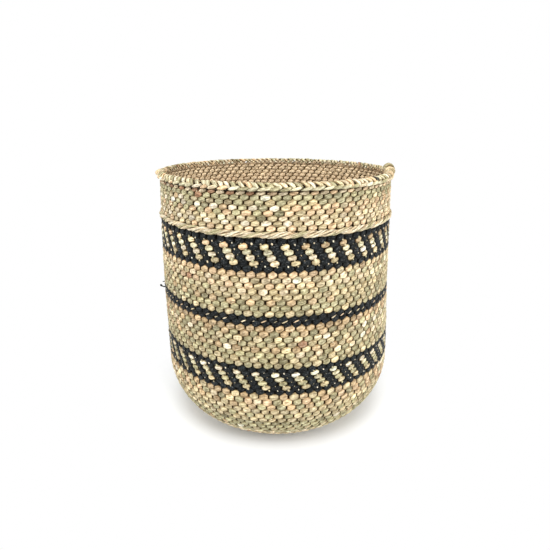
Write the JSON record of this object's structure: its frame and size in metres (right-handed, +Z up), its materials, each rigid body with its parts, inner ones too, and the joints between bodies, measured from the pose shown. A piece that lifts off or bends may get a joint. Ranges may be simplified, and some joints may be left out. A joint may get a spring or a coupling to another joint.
{
  "type": "woven grass basket",
  "caption": "Tall round basket of twined grass with checked dark bands, a raised two-ply cord, a plaited border and a flat round base.",
  "frame": {"origin": "centre of the flat underside, on the surface that the basket stands on", "axes": "+Z up along the basket's axis; -Y faces the camera; the tied-off ends of the border are at +X and -X"},
  "size_m": [0.2232, 0.2216, 0.248],
  "materials": {
    "straw": "dry natural grass, matt with a faint silky grain",
    "green_straw": "dry greenish grass, matt with a faint silky grain",
    "tan_straw": "dry tan grass, matt with a faint silky grain",
    "checked_straw": "natural and dyed black grass side by side in checks, matt",
    "black_straw": "grass dyed black, matt"
  },
  "bodies": {
    "root": {"border_plait": "straw", "top_weave": "green_straw", "ridge_cord_pale_strand": "straw", "ridge_cord_green_strand": "green_straw", "upper_band_top_edge": "black_straw", "upper_band_checks": "checked_straw", "upper_band_bottom_edge": "black_straw", "upper_middle_weave": "tan_straw", "stripe_top_row": "black_straw", "stripe_bottom_row": "black_straw", "lower_middle_weave": "straw", "lower_band_top_edge": "black_straw", "lower_band_checks": "checked_straw", "lower_band_bottom_edge": "black_straw", "heel_side_weave": "green_straw", "heel_turn_weave": "green_straw", "base_weave": "straw", "base_start": "straw", "start_lower_stakes": "tan_straw", "start_upper_stakes": "tan_straw", "right_tie_arch": "green_straw", "right_tie_wrap": "straw", "left_tie_strap": "straw", "dark_weft_tail": "black_straw"}
  },
  "joints": []
}
